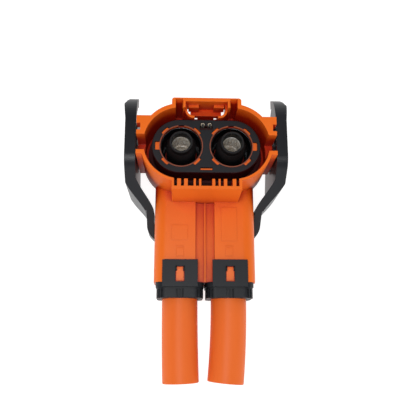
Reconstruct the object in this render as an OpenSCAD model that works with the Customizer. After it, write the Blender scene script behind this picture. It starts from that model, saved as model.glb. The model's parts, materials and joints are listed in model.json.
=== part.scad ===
// Right-angle two-pole high voltage connector with a mating lever and two shielded cables.
// Millimetres. X runs across the connector, +Z is the mating direction, the cables leave along -Y.
// The origin is on the mating axis, midway between the two contacts, at the flat back.

/* [Contacts] */
// Distance between the two contact axes, and between the two cable axes
pitch = 22.8; // [22.6:0.1:23.4]
// Diameter of the round pin that each socket takes
pin_d = 8.0; // [7.6:0.1:8.2]
// Wall of the socket around its bore
socket_wall = 1.0; // [0.8:0.05:1.1]
// Depth of the socket's mouth behind the mating rim
socket_t = 5.3; // [4.9:0.1:6.0]
// Depth of the socket's bore
socket_bore_l = 19; // [17:0.5:20]

/* [Cable] */
// Outer diameter of the shielded cable
cable_d = 16.6; // [16:0.1:16.8]
// Diameter of the stranded conductor
conductor_d = 8.6; // [8.2:0.1:8.8]
// Wall of the inner insulation
insulation_wall = 1.6; // [1.4:0.1:1.7]
// Thickness of the braided shield
braid_wall = 0.45; // [0.35:0.05:0.5]
// Length of each cable outside its cap
cable_out = 37.3; // [30:0.5:60]
// Radius of the left cable's slight inward curve
bend_left = 1000; // [800:50:2000]
// Radius of the right cable's slight inward curve
bend_right = 380; // [340:10:1000]

/* [Shroud] */
// Radius of the mating cavity's round ends
shroud_r = 16.75; // [16.65:0.05:16.9]
// How far the mating cavity sits below the contacts
cavity_drop = 0.4; // [0.3:0.05:0.5]
// Wall of the shroud under the cavity, where it is thinnest
shroud_wall = 1.15; // [1:0.05:1.4]
// Depth of the shroud behind its rim, outside
shroud_l = 30; // [28:0.5:31]
// Depth of the mating cavity's floor behind the rim
cavity_t = 22; // [21:0.5:23]

/* [Latch pocket] */
// Width of the pocket above the shroud
pocket_w = 31.4; // [31:0.2:32.2]
// Height of the pocket's top above the mating axis
pocket_top = 21; // [20.6:0.1:22]
// Wall of the pocket
pocket_wall = 1.7; // [1.4:0.1:2]
// Depth of the bridge over the latch arm
bridge_l = 9; // [8:0.5:9.5]
// Half width of the chamber between the pocket's inner walls
chamber_x = 9.55; // [9.4:0.05:9.7]
// Thickness of the pocket's inner walls
inner_wall = 1.25; // [1.1:0.05:1.4]
// Half width of the latch arm
arm_x = 7.2; // [6.6:0.1:7.4]

/* [Comb shelf] */
// Width of the comb shelf under the shroud
shelf_w = 30.8; // [30:0.2:32]
// Lowest point of the comb shelf
shelf_y = -21.8; // [-22.5:0.1:-21.5]
// Depth of the comb's slots behind the rim
slot_l = 12; // [8:0.5:15]

/* [Cable ducts] */
// Width of each rounded square duct
duct_w = 24.2; // [24:0.1:24.4]
// Radial room for the seal between the cable and the duct
seal_wall = 1.4; // [1.3:0.05:1.5]
// Corner radius of each duct
duct_corner = 5.8; // [5:0.2:6.4]
// Depth of the ducts' front behind the mating rim
duct_t = 20.5; // [20:0.25:21]
// Where the ducts end, below the mating axis
duct_end = 59.6; // [58:0.2:62]
// Wall between the duct's outside and the seal's pocket
duct_wall = 1.5; // [1.3:0.05:1.6]

/* [Insert] */
// Depth of the black insert's face behind the rim
face_t = 5.6; // [5:0.1:6.2]
// Gap between the black insert and the shroud at the insert's ends
insert_end_gap = 3.45; // [3.3:0.05:3.7]
// Gap between the black insert and the top of the mating cavity
insert_gap = 3.65; // [3.5:0.05:3.8]
// Wall of the black insert's skirt
skirt_wall = 1.6; // [1.4:0.1:1.8]
// Outer radius of the two orange collars in the insert
collar_r = 9.9; // [9.7:0.05:10]
// Wall of the orange collars
collar_wall = 0.4; // [0.35:0.05:0.5]
// How far the collars' outer lugs reach out
lug_reach = 1.85; // [1.6:0.05:2]
// How far the collars' slanted lugs reach out
lug_slant = 0.95; // [0.8:0.05:1.1]
// Width of the collars' lugs
lug_w = 3.8; // [3.5:0.1:4]

/* [Touch guards] */
// Outer radius of the narrow nose in front of each contact
nose_r = 5.2; // [5.1:0.05:5.3]
// Wall of the nose at its mouth
nose_wall = 1.05; // [0.9:0.05:1.05]
// Radius of the touch guard's body
guard_r = 6.9; // [6.6:0.1:7.1]

/* [Lever] */
// Distance from the middle to the inner face of each lever arm
lever_in = 31.9; // [31.8:0.1:32.6]
// Thickness of the lever's side plates
lever_t = 5; // [4.6:0.1:5.6]
// Radius of the pivot boss
pivot_r = 5; // [4.6:0.1:5.4]
// Depth of the pivot axis behind the rim
pivot_t = 21; // [20.5:0.1:21.5]
// Radius of the plates' upper lobe
lobe_r = 16.7; // [16.5:0.1:17.5]
// Height of the lobe's centre above the pivot
lobe_y = 11.2; // [11:0.1:12]
// Diameter of the cam post that the groove takes
post_d = 6; // [5.6:0.1:6.2]
// Thickness of the crossbar behind the ducts
bar_t = 5.2; // [4.6:0.1:5.8]
// Clearance between the ducts' back and the crossbar
bar_gap = 0.4; // [0.3:0.1:3]
// Height of the crossbar, along the ducts
bar_h = 9.2; // [8:0.2:12]

/* [Hidden] */
$fn = 72;

// Clearances
play = 0.1;
slip = 0.05;
gap = 0.3;
eps = 0.01;
cut = 1;

// Colours
orange = "#e8733a";
black = "#2f3236";
silver = "#c9c4b8";
copper = "#c07a4a";
gold = "#c8a24a";
natural = "#e9e4d8";

// Places that follow from the sizes
cx = pitch / 2;
duct_back = bar_t + bar_gap;
duct_h = cable_d + 2 * (seal_wall + duct_wall);
rim_z = duct_back + duct_h + duct_t;
cavity_top = shroud_r - cavity_drop;
shroud_out = shroud_r + cavity_drop + shroud_wall;
cavity_z = rim_z - cavity_t;
face_z = rim_z - face_t;
duct_top = rim_z - duct_t;
cable_z = duct_top - duct_h / 2;
duct_out = cx + duct_w / 2;
pivot_z = rim_z - pivot_t;
bore_r = pin_d / 2 + slip;
socket_r = bore_r + socket_wall;
socket_z = rim_z - socket_t;
socket_floor = socket_z - socket_bore_l;
insert_r = cavity_top - insert_gap;
insert_cx = cx + shroud_r - insert_end_gap - insert_r;
carrier_r = insert_r - skirt_wall - play;
guard_bottom = socket_floor;

// Two circles joined by a band: the outline of everything round both contacts
module stadium(half, r) {
    for (x = [-half, half]) translate([x, 0]) circle(r);
    translate([-half, -r]) square([2 * half, 2 * r]);
}

// A rectangle with round corners, centred
module rounded(w, h, r) {
    for (x = [r - w / 2, w / 2 - r], y = [r - h / 2, h / 2 - r]) translate([x, y]) circle(r);
    translate([-w / 2, r - h / 2]) square([w, h - 2 * r]);
    translate([r - w / 2, -h / 2]) square([w - 2 * r, h]);
}

// An outline in X and Y raised from z0 to z1
module raised(z0, z1) {
    translate([0, 0, z0]) linear_extrude(z1 - z0) children();
}

// An outline in X and Z drawn along Y from y0 down to y1
module along_y(y0, y1) {
    translate([0, y0, 0]) rotate([90, 0, 0]) linear_extrude(y0 - y1) children();
}

// An outline in Y and Z drawn along X from x0 to x1
module along_x(x0, x1) {
    translate([x0, 0, 0]) rotate([90, 0, 90]) linear_extrude(x1 - x0) children();
}

// A box given by two corners
module box(a, b) {
    translate(a) cube(b - a);
}

// The same shape on the right and, mirrored, on the left
module both() {
    children();
    mirror([1, 0, 0]) children();
}

// Housing

// Comb slots under the shroud: centre and width of each
comb = [[-13.7, 1.35], [-10.65, 1.35], [-7.1, 2.55], [-4.15, 1.4], [-0.1, 4.8],
    [4.3, 1.45], [6.65, 1.4], [10, 2.4], [13.45, 1.35]];
shelf_web = 1.45;
shelf_draft = 0.8;
cheek_x = 31.4;
cheek_top = 12.2;
cheek_rib = 1.8;
post_slot = [-3.9, 3.4];
post_slot_t = 14;
notch_y = [3.6 + cheek_rib, 8.6];
notch_depth = 1.7;
flange_t = 5.6;
box_top = 17;
box_bottom = -21;
box_wall = 2.2;
box_corner = 4;
groove_x = chamber_x + inner_wall;
groove_w = pocket_w / 2 - pocket_wall - groove_x;
groove_top = pocket_top - 1.4;
groove_lead = [1, 2.4];
wall_chamfer = 0.65;
pocket_l = 22;
pocket_corner = 1.2;
arm_y = cavity_top;
arm_tip_t = 10;
arm_root_t = 25;
foot_r = 2.9;
foot_wall = 1;
foot_x = chamber_x - 0.85 - foot_r;
foot_y = cavity_top + 0.55;
foot_tip = 0.4;
foot_t = [4, 15];
bar_pad = [3.45, 8.2, 1.3];
catch_window = [3.8, 5.3, 12.4, 18];
boss_lug = 1.4;
boss_end = lever_in + lever_t + gap + 0.9;
seal_r = duct_h / 2 - duct_wall;
seal_y = -duct_end + 12;
duct_bore = cable_d / 2 - 0.6;
sheath_start = seal_y + 4;
nub_w = 3.4;
nub_l = 6.5;
nub_h = 1.05;
valley = [4.4, 2.8];
rib = [0.35, 1.5];
// Bare raised fields on the ducts: lower left corner, then width and height
fields = [[-cx - 4, -40.5, 7.4, 7], [cx - 3.8, -40.9, 7.2, 15.9],
    [-cx - 1.7, -47.9, 3.3, 3.7], [cx - 1.9, -47.8, 3.3, 3.7],
    [-cx - 2, -43.4, 3.7, 0.3], [cx - 2.1, -43.3, 3.8, 0.3]];

module duct_outline() {
    difference() {
        union() {
            for (x = [-cx, cx]) translate([x, cable_z]) rounded(duct_w, duct_h, duct_corner);
            translate([-cx, duct_back]) square([pitch, duct_h]);
        }
        translate([-valley[0], duct_top - valley[1]]) square([2 * valley[0], valley[1] + cut]);
    }
    translate([-rib[0], duct_top - valley[1] - cut]) square([2 * rib[0], rib[1] + cut]);
}

module shroud_shell() {
    raised(rim_z - shroud_l, rim_z) stadium(cx, shroud_out);
}

// Side cheeks carry the pivot bosses and guide the mating half's cam posts
module cheek() {
    difference() {
        box([cx, post_slot[0] - cheek_rib, rim_z - shroud_l], [cheek_x, cheek_top, rim_z]);
        box([cx + shroud_r, post_slot[0], rim_z - post_slot_t], [cheek_x + cut, post_slot[1], rim_z + cut]);
        box([cheek_x - notch_depth, notch_y[0], rim_z - shroud_l - cut],
            [cheek_x + cut, notch_y[1], rim_z + cut]);
        box([cheek_x - notch_depth, notch_y[0], rim_z - shroud_l - cut],
            [cheek_x + cut, cheek_top + cut, rim_z - flange_t]);
    }
}

// Pivot boss with two lugs that keep the lever on
module pivot_boss() {
    translate([cx, 0, pivot_z]) rotate([0, 90, 0]) cylinder(r = pivot_r, h = boss_end - cx);
    translate([boss_end - 0.9, 0, pivot_z]) rotate([0, 90, 0]) intersection() {
        cylinder(r = pivot_r + boss_lug, h = 0.9);
        translate([-2, -pivot_r - boss_lug, 0]) cube([4, 2 * (pivot_r + boss_lug), 0.9]);
    }
}

module pocket_block() {
    w = pocket_w / 2 - pocket_corner;
    h = pocket_top - pocket_corner;
    raised(rim_z - pocket_l, rim_z) {
        translate([-w, 0]) square([2 * w, pocket_top]);
        translate([-pocket_w / 2, 0]) square([pocket_w, h]);
        for (x = [-w, w]) translate([x, h]) circle(pocket_corner);
    }
}

// Keyways for the mating half's ribs, open to the cavity and chamfered at the mouth
module pocket_cuts() {
    both() {
        box([groove_x, 0, rim_z - pocket_l + 1.5], [groove_x + groove_w, groove_top, rim_z + cut]);
        along_x(groove_x, groove_x + groove_w) polygon([
            [groove_top - 1, rim_z - groove_lead[1]],
            [groove_top - 1, rim_z + cut],
            [groove_top + groove_lead[0], rim_z + cut],
            [groove_top + groove_lead[0], rim_z],
            [groove_top, rim_z - groove_lead[1]]
        ]);
        along_y(groove_top, cavity_top - 1) polygon([
            [groove_x - wall_chamfer, rim_z],
            [groove_x - wall_chamfer, rim_z + cut],
            [groove_x + 0.5, rim_z + cut],
            [groove_x + 0.5, rim_z - wall_chamfer - 0.5]
        ]);
    }
    box([-chamber_x, cavity_top - 1, rim_z - arm_root_t], [chamber_x, pocket_top - pocket_wall, rim_z + cut]);
    box([-chamber_x, cavity_top - 1, rim_z - arm_root_t], [chamber_x, pocket_top + cut, rim_z - bridge_l]);
}

// Round feet that turn the pocket's inner walls in towards the latch arm
module pocket_feet() {
    both() raised(rim_z - foot_t[1], rim_z - foot_t[0]) translate([foot_x, foot_y]) {
        intersection() {
            difference() {
                circle(foot_r + foot_wall);
                circle(foot_r);
            }
            translate([0, -foot_r - foot_wall]) square(foot_r + foot_wall);
        }
        translate([-foot_tip, -foot_r - foot_wall]) square([foot_tip + eps, foot_wall]);
        translate([foot_r, -eps]) square([chamber_x - foot_x - foot_r + eps, pocket_top - pocket_wall - foot_y + 2 * eps]);
    }
    both() box([bar_pad[0], pocket_top - pocket_wall - bar_pad[2], rim_z - bridge_l],
        [bar_pad[1], pocket_top - pocket_wall + eps, rim_z - foot_t[0]]);
}

// Sprung latch arm: rooted in the shroud, with two catch windows and a thumb step
module latch_arm() {
    difference() {
        union() {
            box([-arm_x, arm_y, rim_z - arm_root_t - 1], [arm_x, arm_y + 1.8, rim_z - arm_tip_t]);
            box([-arm_x, arm_y, rim_z - arm_tip_t - 1.6], [arm_x, arm_y + 3.6, rim_z - arm_tip_t]);
            for (i = [0:2]) box([-catch_window[0] + gap, arm_y + 1.7, rim_z - 17.5 - 1.6 * i],
                [catch_window[0] - gap, arm_y + 2.5, rim_z - 16.7 - 1.6 * i]);
        }
        both() box([catch_window[0], arm_y - cut, rim_z - catch_window[3]],
            [catch_window[1], arm_y + 3, rim_z - catch_window[2]]);
    }
}

module comb_shelf() {
    along_x(-shelf_w / 2, shelf_w / 2) polygon([
        [-cx, duct_top - valley[1] - 0.2],
        [-cx, rim_z],
        [shelf_y, rim_z],
        [shelf_y - shelf_draft, duct_top - valley[1] - 0.2]
    ]);
}

module comb_slots() {
    for (s = comb) box([s[0] - s[1] / 2, shelf_y + shelf_web, rim_z - slot_l],
        [s[0] + s[1] / 2, -shroud_r + 2, rim_z + cut]);
}

module rear_box() {
    raised(duct_back, rim_z - shroud_l + cut) translate([0, (box_top + box_bottom) / 2])
        rounded(2 * duct_out, box_top - box_bottom, box_corner);
}

module rear_chamber() {
    raised(duct_back - cut, cavity_z - 4) translate([0, (box_top + box_bottom) / 2])
        rounded(2 * (duct_out - box_wall), box_top - box_bottom - 2 * box_wall, box_corner - 1.6);
}

// Ducts with their latch nubs, valley rib and two bare raised fields
module ducts() {
    along_y(-cx, -duct_end) duct_outline();
    for (x = [-cx, cx], m = [0, 1]) translate([x, 0, cable_z]) mirror([0, 0, m])
        along_x(-nub_w / 2, nub_w / 2) polygon([
            [-duct_end + 0.4, duct_h / 2 - cut],
            [-duct_end + 0.4, duct_h / 2 + 0.2],
            [-duct_end + nub_l - 1, duct_h / 2 + nub_h],
            [-duct_end + nub_l, duct_h / 2 + nub_h],
            [-duct_end + nub_l, duct_h / 2 - cut]
        ]);
    for (f = fields) translate([f[0], f[1], duct_top - cut]) cube([f[2], f[3], cut + 0.15]);
}

module duct_bores() {
    for (x = [-cx, cx]) translate([x, 0, cable_z]) rotate([90, 0, 0]) {
        translate([0, 0, -seal_y]) cylinder(r = seal_r, h = duct_end);
        translate([0, 0, -sheath_start]) cylinder(r = cable_d / 2 + slip, h = duct_end);
        cylinder(r = duct_bore, h = duct_end);
    }
}

module housing() {
    color(orange) {
        difference() {
            union() {
                shroud_shell();
                both() cheek();
                pocket_block();
                comb_shelf();
                rear_box();
                ducts();
            }
            raised(cavity_z, rim_z + cut) translate([0, -cavity_drop]) stadium(cx, shroud_r);
            raised(0, rim_z) stadium(insert_cx, carrier_r + play);
            both() box([cx + shroud_r - 2, post_slot[0], rim_z - post_slot_t],
                [cx + shroud_out + 0.4, post_slot[1], rim_z + cut]);
            pocket_cuts();
            comb_slots();
            rear_chamber();
            duct_bores();
            both() box([cover_clip_x, -cover_clip_w / 2, duct_back - cut],
                [duct_out + cut, cover_clip_w / 2, duct_back + cover_clip_l + 0.4]);
        }
        difference() {
            both() pivot_boss();
            raised(0, rim_z) stadium(cx, shroud_r + 0.5);
        }
        pocket_feet();
        latch_arm();
    }
}

// Rear cover: closes the chamber behind the contacts and is the flat back
cover_clip_x = duct_out - 1.1;
cover_clip_w = 10;
cover_clip_l = 9;
cover_lip = 3;
cover_wall = 2.2;
post_r = 4;

module rear_cover() {
    color(orange) difference() {
        union() {
            along_x(-duct_out, duct_out) polygon([
                [box_top, duct_back], [box_top, 1.5], [box_top - 1.5, 0],
                [box_bottom + 6, 0], [box_bottom - 3, duct_back - 0.2],
                [box_bottom - 3, duct_back]
            ]);
            raised(duct_back - eps, duct_back + cover_lip) translate([0, (box_top + box_bottom) / 2])
                rounded(2 * (duct_out - box_wall - play), box_top - box_bottom - 2 * box_wall - 2 * play,
                    box_corner - 1.7);
            both() box([cover_clip_x + play, -cover_clip_w / 2 + gap, duct_back - eps],
                [duct_out, cover_clip_w / 2 - gap, duct_back + cover_clip_l]);
        }
        box([-duct_out + 4.4, box_bottom + 7, cover_wall], [duct_out - 4.4, box_top - 4.4, rim_z]);
        both() along_y(box_top + cut, box_bottom - 4) polygon([
            [duct_out - 2, -eps], [duct_out + cut, -eps], [duct_out + cut, 2 + cut], [duct_out, 2]]);
    }
    color(orange) for (x = [-cx, cx]) translate([x, 0, cover_wall - eps])
        cylinder(r = post_r, h = elbow_bottom - cover_wall + eps);
}

// Front retainer: the black insert face with its skirt and the interlock well
recess = [2.95, 7.75, 9.6];
recess_l = 2.5;
well_l = 12;
well_bottom = face_z - well_l;
well_wall = 0.6;
face_l = 2.2;
face_edge = 0.3;
tab = [2.6, -11.35, -10.75];
receptacle = [2, 1.45];
receptacle_wall = 0.35;
receptacle_x = 1.6;
receptacle_y = 9.75;
lug_sink = 0.7;
lug_round = 0.5;

// The lugs round a collar, grown by a clearance
module collar_lugs(grow) {
    for (a = [-135, -45, 0, 45, 135]) rotate(a) {
        r = collar_r + (a == 0 ? lug_reach : lug_slant) + grow;
        h = lug_w / 2 + grow;
        translate([0, -h]) square([r - lug_round, 2 * h]);
        translate([0, lug_round - h]) square([r, 2 * (h - lug_round)]);
        for (y = [lug_round - h, h - lug_round]) translate([r - lug_round, y]) circle(lug_round, $fn = 24);
    }
}

module front_retainer() {
    color(black) difference() {
        union() {
            hull() {
                raised(face_z - 0.6, face_z - face_edge) stadium(insert_cx, insert_r);
                raised(face_z - 0.1, face_z) stadium(insert_cx, insert_r - face_edge);
            }
            difference() {
                raised(cavity_z, face_z - 0.55) stadium(insert_cx, insert_r);
                raised(cavity_z - cut, face_z - face_l) stadium(insert_cx, insert_r - skirt_wall);
            }
            box([-recess[0] - well_wall, recess[1] - well_wall, well_bottom],
                [recess[0] + well_wall, insert_r - 0.8, face_z - face_l]);
        }
        both() translate([cx, 0, 0]) raised(cavity_z, face_z + cut) {
            circle(collar_r + play);
            collar_lugs(play);
        }
        box([-recess[0], recess[1], face_z - recess_l], [recess[0], recess[2], face_z + cut]);
        for (x = [-receptacle_x, receptacle_x]) box(
            [x - receptacle[0] / 2 - slip, recess[2] - eps, well_bottom + 1.2],
            [x + receptacle[0] / 2 + slip, receptacle_y + receptacle[1] + slip, face_z + cut]);
        box([-receptacle_x, recess[2] - eps, well_bottom + 1.2],
            [receptacle_x, receptacle_y + receptacle[1] + slip, well_bottom + 2.2]);
        box([-tab[0] - play, tab[1] - play, cavity_z], [tab[0] + play, tab[2] + 0.6, face_z + cut]);
    }
}

// Inner carrier: one orange moulding that holds both contacts, with collars that show round them
carrier_floor = 3;
collar_notch = 2.6;

module inner_carrier() {
    color(orange) difference() {
        union() {
            difference() {
                raised(guard_bottom, face_z - face_l - play) stadium(insert_cx, carrier_r);
                box([-recess[0] - well_wall - play, recess[1] - well_wall - play, well_bottom - play],
                    [recess[0] + well_wall + play, insert_r, rim_z]);
            }
            both() translate([cx, 0, 0]) {
                raised(face_z - face_l - 0.5, face_z + 0.05) circle(collar_r);
                raised(face_z - face_l - 0.5, face_z - lug_sink) collar_lugs(0);
            }
            box([-tab[0], tab[1], face_z - face_l - 1], [tab[0], tab[2], face_z + 0.1]);
        }
        for (x = [-cx, cx]) translate([x, 0, 0]) {
            translate([0, 0, guard_bottom + carrier_floor]) cylinder(r = collar_r - collar_wall, h = rim_z);
            cylinder(r = guard_r + slip, h = rim_z);
            box([-collar_notch / 2, guard_r, face_z - collar_notch / 2], [collar_notch / 2, collar_r + cut, rim_z]);
        }
    }
}

// Interface seal: one rubber ring on the cavity's floor, with two lips
module interface_seal() {
    color("#26292c") difference() {
        union() {
            raised(cavity_z, cavity_z + 4.4) stadium(insert_cx, insert_r + 1.5);
            for (z = [0.7, 2.9]) raised(cavity_z + z, cavity_z + z + 0.8) stadium(insert_cx, insert_r + 2);
        }
        raised(cavity_z - cut, rim_z) stadium(insert_cx, insert_r + slip);
    }
}

// Touch guard: a revolved insulating sleeve with a narrow nose over each contact
nose_z = rim_z - 0.45;
step_z = socket_z + 0.6;

module touch_guard(x) {
    color("#1f2226") translate([x, 0, 0]) rotate_extrude() polygon([
        [socket_r + slip, guard_bottom],
        [guard_r, guard_bottom],
        [guard_r, step_z - 3],
        [guard_r - 0.5, step_z - 1.6],
        [nose_r + 0.25, step_z],
        [nose_r, step_z + 0.3],
        [nose_r, nose_z - 0.3],
        [nose_r - 0.3, nose_z],
        [nose_r - nose_wall + 0.3, nose_z],
        [nose_r - nose_wall, nose_z - 0.4],
        [nose_r - nose_wall, socket_z],
        [socket_r + slip, socket_z]
    ]);
}

// Terminal: a forged right-angle socket with a crimp barrel
elbow_r = 6.3;
barrel_r = elbow_r - 0.4;
elbow_bottom = cable_z - elbow_r;
barrel_end = -27;
barrel_bore = conductor_d / 2 + slip;
crimp_l = 17;
band_z0 = socket_z - 12.5;
band_z1 = socket_z - 2.5;
band_seat = 0.45;
socket_lead = 0.25;

module terminal(x) {
    color(silver) translate([x, 0, 0]) difference() {
        union() {
            translate([0, 0, guard_bottom - eps]) cylinder(r = socket_r, h = socket_bore_l + eps);
            translate([0, 0, elbow_bottom]) cylinder(r = elbow_r, h = guard_bottom - elbow_bottom);
            translate([0, 0, cable_z]) rotate([90, 0, 0]) cylinder(r = barrel_r, h = -barrel_end);
        }
        translate([0, 0, socket_floor]) cylinder(r = bore_r, h = rim_z);
        translate([0, 0, band_z0]) cylinder(r = bore_r + band_seat, h = band_z1 - band_z0);
        translate([0, 0, socket_z - socket_lead]) cylinder(r1 = bore_r, r2 = bore_r + socket_lead, h = socket_lead + eps);
        translate([0, barrel_end + crimp_l, cable_z]) rotate([90, 0, 0]) cylinder(r = barrel_bore, h = crimp_l + cut);
        translate([0, barrel_end + crimp_l - 2, cable_z]) cylinder(r = 1, h = elbow_r + cut);
        for (y = [0, 5]) translate([0, barrel_end + 4 + y, cable_z]) rotate([90, 0, 0]) difference() {
            cylinder(r = elbow_r, h = 2.4);
            translate([0, 0, -cut]) cylinder(r = barrel_r - 0.45, h = 5);
        }
    }
}

// Contact band: a slotted spring sleeve in the socket's groove
module contact_band(x) {
    color(gold) translate([x, 0, 0]) difference() {
        translate([0, 0, band_z0 + slip]) cylinder(r = bore_r + band_seat - slip, h = band_z1 - band_z0 - 2 * slip);
        cylinder(r = bore_r + 0.08, h = rim_z);
        for (i = [0:11]) rotate(30 * i + 15) box([bore_r - 1, -0.17, band_z0 + 1.4], [bore_r + 1, 0.17, band_z1 - 1.4]);
    }
}

// Shield sleeve: a thin metal tube round the touch guard with spring fingers
sleeve_r = collar_r - collar_wall - play;
sleeve_wall = 0.35;
sleeve_top = face_z - 1.6;
finger_l = 8;

module shield_sleeve(x) {
    color(silver) translate([x, 0, 0]) difference() {
        translate([0, 0, guard_bottom + carrier_floor]) cylinder(r = sleeve_r, h = sleeve_top - guard_bottom - carrier_floor);
        translate([0, 0, guard_bottom + carrier_floor + 0.6]) cylinder(r = sleeve_r - sleeve_wall, h = rim_z);
        cylinder(r = guard_r + 0.6, h = rim_z);
        for (i = [0:11]) rotate(30 * i) box([guard_r, -0.5, sleeve_top - finger_l], [sleeve_r + 1, 0.5, rim_z]);
    }
}

// Interlock shunt: two gold receptacles joined at the bottom of their well
module interlock_shunt() {
    color(gold) {
        for (x = [-receptacle_x, receptacle_x]) difference() {
            box([x - receptacle[0] / 2, receptacle_y, well_bottom + 1.25],
                [x + receptacle[0] / 2, receptacle_y + receptacle[1], face_z - 0.4]);
            box([x - receptacle[0] / 2 + receptacle_wall, recess[1], well_bottom + 2.2],
                [x + receptacle[0] / 2 - receptacle_wall, receptacle_y + receptacle[1] - receptacle_wall, rim_z]);
        }
        box([-receptacle_x, receptacle_y + 0.2, well_bottom + 1.25],
            [receptacle_x, receptacle_y + receptacle[1] - 0.2, well_bottom + 2.15]);
    }
}

// Lever: two cam plates that neck in to a crossbar behind the ducts
arm_in = duct_out + 0.7;
arm_out = arm_in + 3.4;
neck_y0 = -13.6;
neck_y1 = -24.9;
neck_lag = 1.6;
bar_top = -28;
bar_end = bar_top - bar_h;
bar_corner = 6;
post_close = 11.5;
post_open = 21.5;
groove_depth = 2.6;
pad_h = 1;
pad_w = 3;
pad_y0 = lobe_y + 1.2;
pad_y1 = lobe_y + 0.6 * lobe_r;
ear_y = lobe_y + 0.86 * lobe_r;
ear = 1;
lobe_back = [7.8, 4.5, 11.3];

// Smooth step from 0 to 1
function smooth(u) = 0.7 * u + 0.15 * (1 - cos(180 * u));
function neck(y, a, b) = y > neck_y0 ? a : y < neck_y1 ? b : a + (b - a) * smooth((neck_y0 - y) / (neck_y0 - neck_y1));
neck_steps = [for (i = [0:12]) neck_y0 + (neck_y1 - neck_y0) * i / 12];

module arm_side() {
    hull() {
        translate([lobe_y, pivot_z]) circle(lobe_r);
        translate([lobe_y + lobe_back[0], pivot_z - lobe_back[1]]) circle(lobe_back[2]);
        translate([-4, pivot_z + lobe_r - 8]) circle(8);
        translate([-2, pivot_z - 8]) circle(10);
    }
    hull() {
        translate([-4, pivot_z + lobe_r - 8]) circle(8);
        translate([-2, pivot_z - 8]) circle(10);
        translate([bar_end + 6, 6]) circle(6);
        translate([bar_top - 1, 2]) circle(2);
    }
}

module arm_plan() {
    polygon(concat(
        [[lever_in, lobe_y + lobe_r + lobe_back[0]]],
        [for (y = neck_steps) [neck(y, lever_in, arm_in), y]],
        [[arm_in, bar_end - cut], [arm_out, bar_end - cut]],
        [for (i = [12:-1:0]) [neck(neck_steps[i], lever_in + lever_t, arm_out), neck_steps[i] - neck_lag]],
        [[lever_in + lever_t, lobe_y + lobe_r + lobe_back[0]]]
    ));
}

// Cam groove: a spiral that draws the post in as the lever closes, open at the lobe's edge
module cam_groove() {
    steps = 9;
    along_x(lever_in - cut, lever_in + groove_depth) {
        for (i = [0:steps]) translate([0, pivot_z]) rotate(90 - 90 * i / steps)
            translate([post_close + (post_open - post_close) * i / steps, 0]) circle(post_d / 2 + 0.3, $fn = 32);
        for (i = [0:steps - 1]) translate([0, pivot_z]) polygon([
            for (e = [[i, -1], [i, 1], [i + 1, 1], [i + 1, -1]])
                let (a = 90 - 90 * e[0] / steps,
                    r = post_close + (post_open - post_close) * e[0] / steps + e[1] * (post_d / 2 + 0.3))
                [r * cos(a), r * sin(a)]
        ]);
        translate([post_open, pivot_z - post_d / 2 - 0.3]) square([lobe_r + lobe_y, post_d + 0.6]);
        translate([post_open, pivot_z - lobe_r - cut]) square([lobe_r, lobe_r + cut]);
    }
}

// Thumb pad on the lobe's outside, a wedge that is highest at its upper end
module grip_pad() {
    intersection() {
        along_x(lever_in + lever_t - 0.5, lever_in + lever_t + pad_h + cut) translate([lobe_y, pivot_z]) difference() {
            circle(lobe_r - 0.3);
            circle(lobe_r - 0.3 - pad_w);
        }
        raised(pivot_z, rim_z) polygon([
            [lever_in + lever_t - cut, pad_y0],
            [lever_in + lever_t, pad_y0],
            [lever_in + lever_t + pad_h, pad_y1],
            [lever_in + lever_t + pad_h, ear_y],
            [lever_in + lever_t - cut, ear_y]
        ]);
    }
}

module lever_arm() {
    difference() {
        intersection() {
            along_x(0, lever_in + lever_t + cut) arm_side();
            raised(0, rim_z) arm_plan();
        }
        cam_groove();
        translate([0, 0, pivot_z]) rotate([0, 90, 0]) cylinder(r = pivot_r + 0.08, h = 3 * lever_in);
        translate([lever_in, 0, pivot_z]) rotate([45, 0, 0]) translate([0, -pivot_r - boss_lug - 0.3, -2.2])
            cube([lever_t + cut, 2 * (pivot_r + boss_lug + 0.3), 4.4]);
    }
    grip_pad();
}

// Seen from the front, the lever's outline is cut off above the pads and round at its lower corners
module lever_limit() {
    side = [
        [2 * lever_in, neck_y1 - 0.5],
        [2 * lever_in, pad_y1],
        [lever_in + lever_t + pad_h + 0.1, pad_y1],
        [lever_in + lever_t - ear, ear_y],
        [lever_in + lever_t - ear, 3 * lobe_r]
    ];
    polygon(concat(side, [for (i = [len(side) - 1:-1:0]) [-side[i][0], side[i][1]]]));
    translate([0, bar_end / 2]) rounded(2 * (arm_out + slip), -bar_end, bar_corner);
}

module crossbar() {
    along_x(-arm_in - 1, arm_in + 1) translate([(bar_top + bar_end) / 2, bar_t / 2]) rounded(bar_h, bar_t, 1.6);
}

module lever() {
    color(black) intersection() {
        union() {
            both() lever_arm();
            crossbar();
        }
        raised(-cut, rim_z + cut) lever_limit();
    }
}

// Cable cap: a collar behind each seal with two latch tabs over the duct's nubs
cap_r = duct_h / 2 - 0.5;
cap_flange = 2.3;
cap_l = 4.8;
cap_tab_w = 16.1;
cap_tab_l = 10;
cap_tab_t = 1.1;
cap_window = [4, 6.9];
cap_bore = cable_d / 2 + 0.2;

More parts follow.
